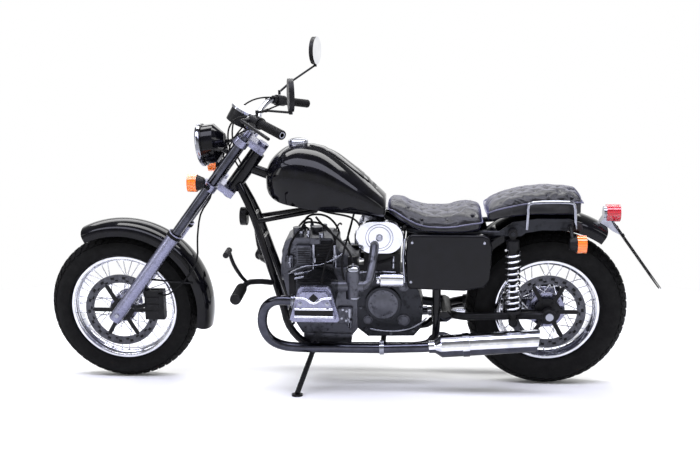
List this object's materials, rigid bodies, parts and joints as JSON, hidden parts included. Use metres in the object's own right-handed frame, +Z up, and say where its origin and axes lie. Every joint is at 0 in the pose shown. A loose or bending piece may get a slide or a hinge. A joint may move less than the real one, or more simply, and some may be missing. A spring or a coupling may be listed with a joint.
{
  "type": "cruiser motorcycle",
  "caption": "Heavy cruiser motorcycle with flat-twin engine, wire wheels, high bars, stepped leather seat and chrome exhausts, parked leaning on its side stand",
  "frame": {"origin": "centre of the footprint, on the floor", "axes": "X forward along the motorcycle, Y to the rider's left, Z up; the machine leans 8.75 degrees to the left on its side stand"},
  "size_m": [2.4142, 0.9202, 1.3928],
  "materials": {
    "amber_lamp": "clear amber plastic in a black body",
    "cast_alloy": "plain cast alloy, slightly dull",
    "chrome": "polished chrome",
    "disc_steel": "turned steel",
    "gloss_black": "smooth gloss black paint",
    "leather": "soft black leather",
    "lens": "clear ribbed glass",
    "plate": "blank painted sheet",
    "polished_alloy": "polished alloy",
    "red_lamp": "clear red plastic",
    "rubber": "soft black rubber",
    "satin_black": "satin black paint",
    "tyre_rubber": "black tyre rubber"
  },
  "bodies": {
    "body": {"main_frame": "gloss_black", "rear_subframe": "polished_alloy", "engine_block": "cast_alloy", "cylinders": "cast_alloy", "rocker_covers": "polished_alloy", "gearbox": "cast_alloy", "starter_motor": "chrome", "carburettors": "cast_alloy", "air_cleaner": "chrome", "exhaust_headers": "chrome", "silencers": "chrome", "fuel_tank": "gloss_black", "fuel_cap": "chrome", "rider_seat": "leather", "pillion_seat": "leather", "side_covers": "gloss_black", "rear_fender": "gloss_black", "grab_rails": "chrome", "tail_lamp": "red_lamp", "number_plate": "plate", "rear_indicators": "amber_lamp", "shock_absorbers": "satin_black", "shock_springs": "chrome", "swing_arm": "satin_black", "final_drive": "cast_alloy", "rear_axle": "chrome", "rear_caliper": "satin_black", "foot_controls": "satin_black", "horn": "satin_black"},
    "steering": {"fork_yokes": "polished_alloy", "fork_tubes": "chrome", "fork_sliders": "polished_alloy", "front_fender": "gloss_black", "headlight_shell": "gloss_black", "headlight_lens": "lens", "front_indicators": "amber_lamp", "handlebar": "chrome", "grips": "rubber", "hand_controls": "satin_black", "mirrors": "chrome", "gauge": "chrome", "front_axle": "chrome", "front_caliper": "satin_black", "control_cables": "rubber"},
    "front_wheel": {"front_tyre": "tyre_rubber", "front_rim": "chrome", "front_hub": "polished_alloy", "front_disc": "disc_steel"},
    "rear_wheel": {"rear_tyre": "tyre_rubber", "rear_rim": "chrome", "rear_hub": "polished_alloy", "rear_disc": "disc_steel"},
    "side_stand": {"side_stand": "satin_black"}
  },
  "joints": [
    {"name": "steering_turn", "type": "hinge", "parent": "body", "child": "steering", "pos_m": [0.3998, -0.03728, 0.85125], "axis": [-0.599, 0.1218, 0.7914], "range_deg": [-35, 35]},
    {"name": "front_wheel_spin", "type": "hinge", "parent": "steering", "child": "front_wheel", "pos_m": [0.90512, -0.12226, 0.29914], "axis": [0, 0.9884, -0.1521], "continuous": true},
    {"name": "rear_wheel_spin", "type": "hinge", "parent": "body", "child": "rear_wheel", "pos_m": [-0.78489, -0.12011, 0.31314], "axis": [0, 0.9884, -0.1521], "continuous": true},
    {"name": "side_stand_swing", "type": "hinge", "parent": "body", "child": "side_stand", "pos_m": [0.11811, 0.01053, 0.17584], "axis": [0, 0.826, 0.5637], "range_deg": [0, 95]}
  ]
}
